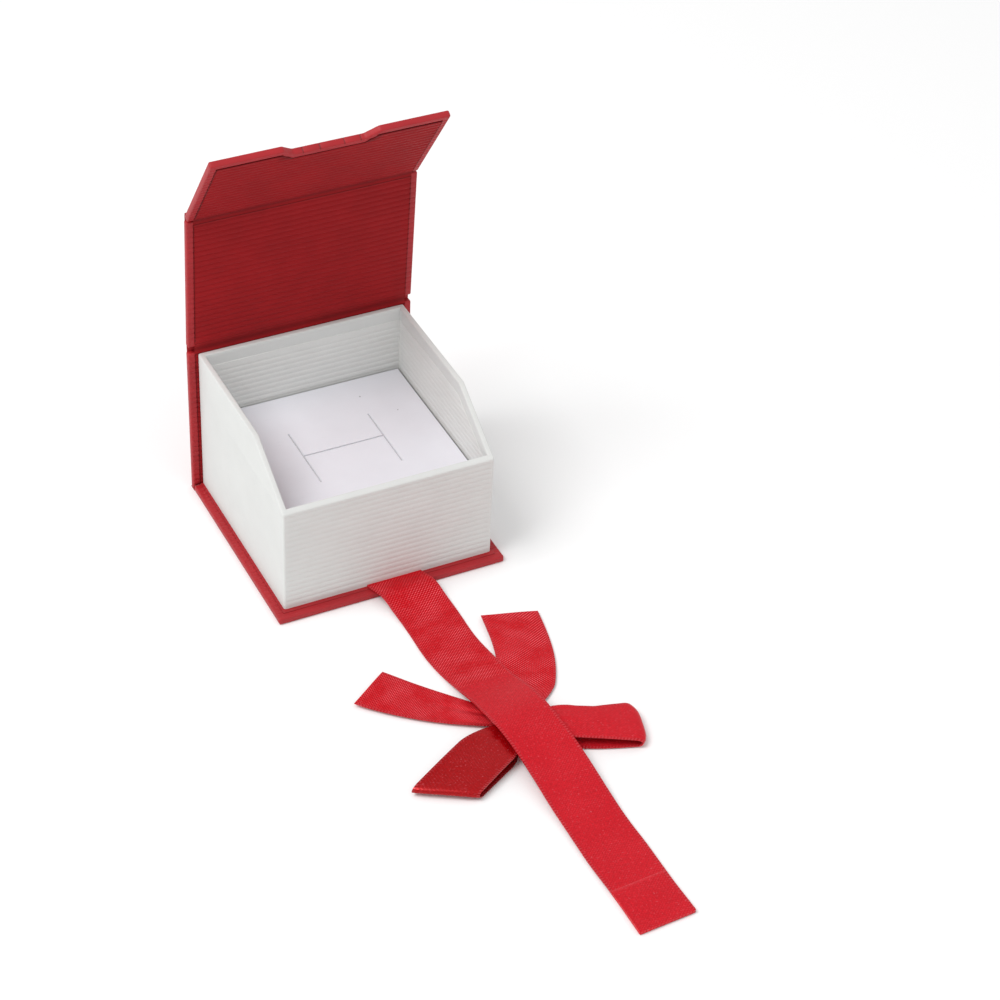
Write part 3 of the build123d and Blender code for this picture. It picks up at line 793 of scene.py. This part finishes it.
# a piece of ribbon: place gives each point and its weave coordinates
def sheetOf(name, place, rows, columns, thickness, finish):
    bm = bmesh.new()
    bmesh.ops.create_grid(bm, x_segments=columns, y_segments=rows, size=1)
    weave = bm.loops.layers.uv.new("UVMap")
    for face in bm.faces:
        for loop in face.loops:
            loop[weave].uv = place(loop.vert.co.x, (loop.vert.co.y + 1) / 2)[1]
    for vert in bm.verts:
        vert.co = place(vert.co.x, (vert.co.y + 1) / 2)[0]
    piece = makePiece(name, bm, finish, 60)
    thicken(piece, thickness)
    return piece


strapEnd = (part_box("strap_tail")[0].y - exitFold.y) / heading.y / mm
# from and to in millimetres from the exit; fold: where the strap bends, and its span before and past it
stretches = {
    "ribbonExit": {
        "from": -0.9,
        "to": 17.0,
        "bodies": ("box", "strap_front"),
        "fold": (exitFold, 0.2, 1.6),
        "finish": wovenSatinPaintedHighlights,
        "node": None,
        "rests": ["base_liner"],
    },
    "ribbonLower": {
        "from": 17.0,
        "to": 46.0,
        "bodies": ("strap_front", "strap_slope"),
        "fold": (edgeFold, 0.2, 3.8),
        "finish": wovenSatinPaintedHighlights,
        "node": "strap_front",
        "rests": [],
    },
    "ribbonUpper": {
        "from": 46.0,
        "to": 88.0,
        "bodies": ("strap_slope", "strap_top"),
        "fold": (creaseFold, -1.8, 1.8),
        "finish": redSatin,
        "node": "strap_slope",
        "rests": ["bow_knot"],
    },
    "ribbonEnd": {
        "from": 88.0,
        "to": strapEnd + 0.3,
        "bodies": ("strap_top", "strap_tail"),
        "fold": (spineFold, -1.6, 1.6),
        "finish": redSatin,
        "node": "strap_top",
        "rests": [],
    },
}
for name, part in stretches.items():
    span = part["to"] - part["from"]
    piece = sheetOf(name, lambda u, v: onStrap(u, part["from"] + span * v), int(span * 1.6), 16,
                    ribbon["thickness"], part["finish"])
    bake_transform(piece)
    if part["node"]:
        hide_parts(part["node"])
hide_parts("strap_tail")
print("strap")

# the hem: the end folded over its magnet, pressed flat, the disc showing through faintly
discLow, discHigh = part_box("strap_magnet")
hemCentre = (discLow + discHigh) / 2
# in millimetres: reach before the disc, length, half thickness, and the disc's imprint
hemFold = {"before": 7.4, "length": 14.7, "half": 0.44, "imprint": 0.16, "imprintRadius": 4.9, "seamHighlight": 0.06}
hemStart = (hemCentre - exitFold).dot(heading) / mm - hemFold["before"]
bm = bmesh.new()
bmesh.ops.create_cube(bm, size=2)
roundEdges(bm, bm.edges[:], 0.04, 3)
long = [e for e in bm.edges if e.calc_length() > 1.0]
bmesh.ops.subdivide_edges(bm, edges=long, cuts=34, use_grid_fill=True)
weave = bm.loops.layers.uv.new("UVMap")
seamHighlight = bm.verts.layers.float.new("seamHighlight")
for vert in bm.verts:
    u, v, w = vert.co.x, (vert.co.y + 1) / 2, vert.co.z
    # painted highlight: a narrow band at the hem's near end, where its edge steps up from the strap
    vert[seamHighlight] = max(0.0, 1 - v / hemFold["seamHighlight"])
    place = onStrap(u * 0.985, hemStart + hemFold["length"] * v)[0]
    offCentre = hypot(place.x - hemCentre.x, place.y - hemCentre.y) / mm
    disc = hemFold["imprint"] * exp(-((offCentre / hemFold["imprintRadius"]) ** 8))
    thick = hemFold["half"] + disc + 0.03 * sin(5 * v + 3 * u)
    vert.co = Vector((place.x, place.y, hemCentre.z + thick * w * mm))
for face in bm.faces:
    for loop in face.loops:
        away = loop.vert.co - exitFold
        loop[weave].uv = (away.dot(sideways) / mm * 0.95, away.dot(heading) / mm)
hem = makePiece("ribbonHem", bm, redSatin)
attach(hem, "strap_tail")
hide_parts("strap_hem")
print("hem")

# the bow under the strap: two loops, two tails and a knot
knotLow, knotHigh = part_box("bow_knot")
knot = (knotLow + knotHigh) / 2
# in millimetres: where loops and tails leave the knot, how a loop rolls and gathers, the lowest levels;
# pinch and knotShare are shares of a width
bow = {
    "loopStart": 4.2,
    "loopLevel": 2.05,
    "loopLowest": 0.35,
    "roll": 1.35,
    "gather": 11.0,
    "pinch": 0.62,
    "tailStart": 3.6,
    "tailLowest": 0.25,
    "thickness": 0.3,
    "knotShare": Vector((0.92, 0.95, 0.93)),
}
# turn in degrees from the right, slant and rounding of the end, and how the edges narrow or belly
loops = {
    "bowLoopRight": {
        "node": "bow_loop_right",
        "turn": -26.0,
        "length": 31.6,
        "half": 6.9,
        "slant": -1.2,
        "sag": 0.4,
        "nose": 1.9,
        "rounding": 1.3,
        "narrow": 0.3,
        "belly": 0.16,
        "finish": redSatin,
    },
    "bowLoopLeft": {
        "node": "bow_loop_left",
        "turn": -151.0,
        "length": 33.2,
        "half": 7.3,
        "slant": -4.0,
        "sag": 0.6,
        "nose": 2.8,
        "rounding": 0.3,
        "narrow": 0.0,
        "belly": 0.05,
        "finish": smoothSatinPaintedShade,
    },
}
tails = {
    "bowTailRight": {
        "node": "bow_tail_right",
        "turn": 67.5,
        "length": 43.3,
        "half": 7.8,
        "slant": -1.1,
        "bow": -3.2,
        "gather": 12.0,
    },
    "bowTailLeft": {
        "node": "bow_tail_left",
        "turn": 137.0,
        "length": 41.4,
        "half": 7.2,
        "slant": 1.4,
        "bow": 1.2,
        "gather": 38.0,
    },
}


# gathers beside the knot
def pleat(u, near):
    return near * (0.28 * sin(u * 7.5) + 0.16 * sin(u * 13.0 + 1.0))


for name, part in loops.items():
    turn = radians(part["turn"])
    out, side = Vector((cos(turn), sin(turn), 0)), Vector((-sin(turn), cos(turn), 0))
    first, last, roll = bow["loopStart"], part["length"] - part["nose"], bow["roll"]
    flat = last - first
    bend = pi * (roll + part["nose"]) / 2
    path = 2 * flat + bend

    # down one layer, round the rolled end and back along the other
    def onLoop(u, v):
        s = v * path
        if s < flat:
            reach, height = first + s, -1.0
        elif s < flat + bend:
            turned = pi * (s - flat) / bend
            reach, height = last + part["nose"] * sin(turned), -cos(turned)
        else:
            reach, height = first + path - s, 1.0
        near = max(0.0, 1 - (reach - first) / bow["gather"])
        puff = 1 + 0.45 * sin(pi * min(1.0, (reach - first) / flat)) if height > 0 else 1.0
        half = part["half"] * (1 - bow["pinch"] * near ** 1.6)
        if u > 0:
            half *= 1 - part["narrow"] * (1 - near) * min(1.0, max(0.0, (part["length"] - 2 - reach) / 9))
        if u < 0 and s < flat:
            half *= 1 + part["belly"] * sin(pi * s / flat)
        level = bow["loopLevel"] + height * roll * 0.82 * puff - part["sag"] * 0.4 * (1 - near)
        level += pleat(u, near) - 0.25 * u * u
        reach += (part["slant"] * u - part["rounding"] * u ** 4) * (reach - first) / flat
        level = max(level, bow["loopLowest"])
        place = knot + (out * reach + side * half * u) * mm
        return Vector((place.x, place.y, level * mm)), (u * ribbonWeave["half"], s)

    piece = sheetOf(name, onLoop, 90, 22, bow["thickness"] * mm, part["finish"])
    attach(piece, "strap_slope")
    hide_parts(part["node"])

for name, part in tails.items():
    turn = radians(part["turn"])
    out, side = Vector((cos(turn), sin(turn), 0)), Vector((-sin(turn), cos(turn), 0))
    first = bow["tailStart"]

    def onTail(u, v):
        reach = first + (part["length"] - first) * v
        near = max(0.0, 1 - (reach - first) / part["gather"])
        half = part["half"] * (1 - bow["pinch"] * near ** 1.5)
        swing = part["bow"] * sin(pi * v)
        lift = 0.5 * v ** 4 * (1 + 0.7 * u) + 0.12 * (1 + sin(9 * v + 2 * u)) * (1 - near)
        level = 0.35 + 0.8 * near + lift + 0.6 * pleat(u, near) * near
        reach += part["slant"] * u * v
        level = max(level, bow["tailLowest"])
        place = knot + (out * reach + side * (half * u + swing)) * mm
        return Vector((place.x, place.y, level * mm)), (u * ribbonWeave["half"], reach)

    piece = sheetOf(name, onTail, 60, 20, bow["thickness"] * mm, wovenSatinPaintedHighlights)
    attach(piece, "strap_slope")
    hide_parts(part["node"])

# the knot: the ribbon's turn round the gathered middle, pinched and pleated
bm = bmesh.new()
bmesh.ops.create_cube(bm, size=2)
bmesh.ops.subdivide_edges(bm, edges=bm.edges[:], cuts=15, use_grid_fill=True)
weave = bm.loops.layers.uv.new("UVMap")
halfSize = (knotHigh - knotLow) / 2 * bow["knotShare"]
for face in bm.faces:
    for loop in face.loops:
        co = loop.vert.co
        loop[weave].uv = (co.x * 4.0, (co.y + co.z) * 4.5)
for vert in bm.verts:
    round4 = (abs(vert.co.y) ** 4 + abs(vert.co.z) ** 4) ** 0.25 or 1.0
    ring = max(abs(vert.co.y), abs(vert.co.z)) / round4
    u = vert.co.x
    swell = 1 - 0.16 * abs(u) ** 3 + 0.05 * sin(u * 8.0 + 2.0 * vert.co.y)
    vert.co = knot + Vector((u, vert.co.y * ring * swell, vert.co.z * ring * swell)) * halfSize
bowKnot = makePiece("bowKnot", bm, redSatin, 60)
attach(bowKnot, "strap_slope")
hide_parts("bow_knot")
print("bow")

# nodes that are shown as they are get their own materials
for part in frame["record"]["subparts"]:
    node = frame["nodes"][part["node"]]
    node.data.materials.clear()
    node.data.materials.append(cadFinish[part["material_slot"]])
print("carried-over nodes")

# a plain pale floor
bm = bmesh.new()
bmesh.ops.create_grid(bm, x_segments=2, y_segments=2, size=3)
bmesh.ops.translate(bm, vec=(0, 0, -0.05 * mm), verts=bm.verts[:])
floor = makePiece("floor", bm, floorFinish)
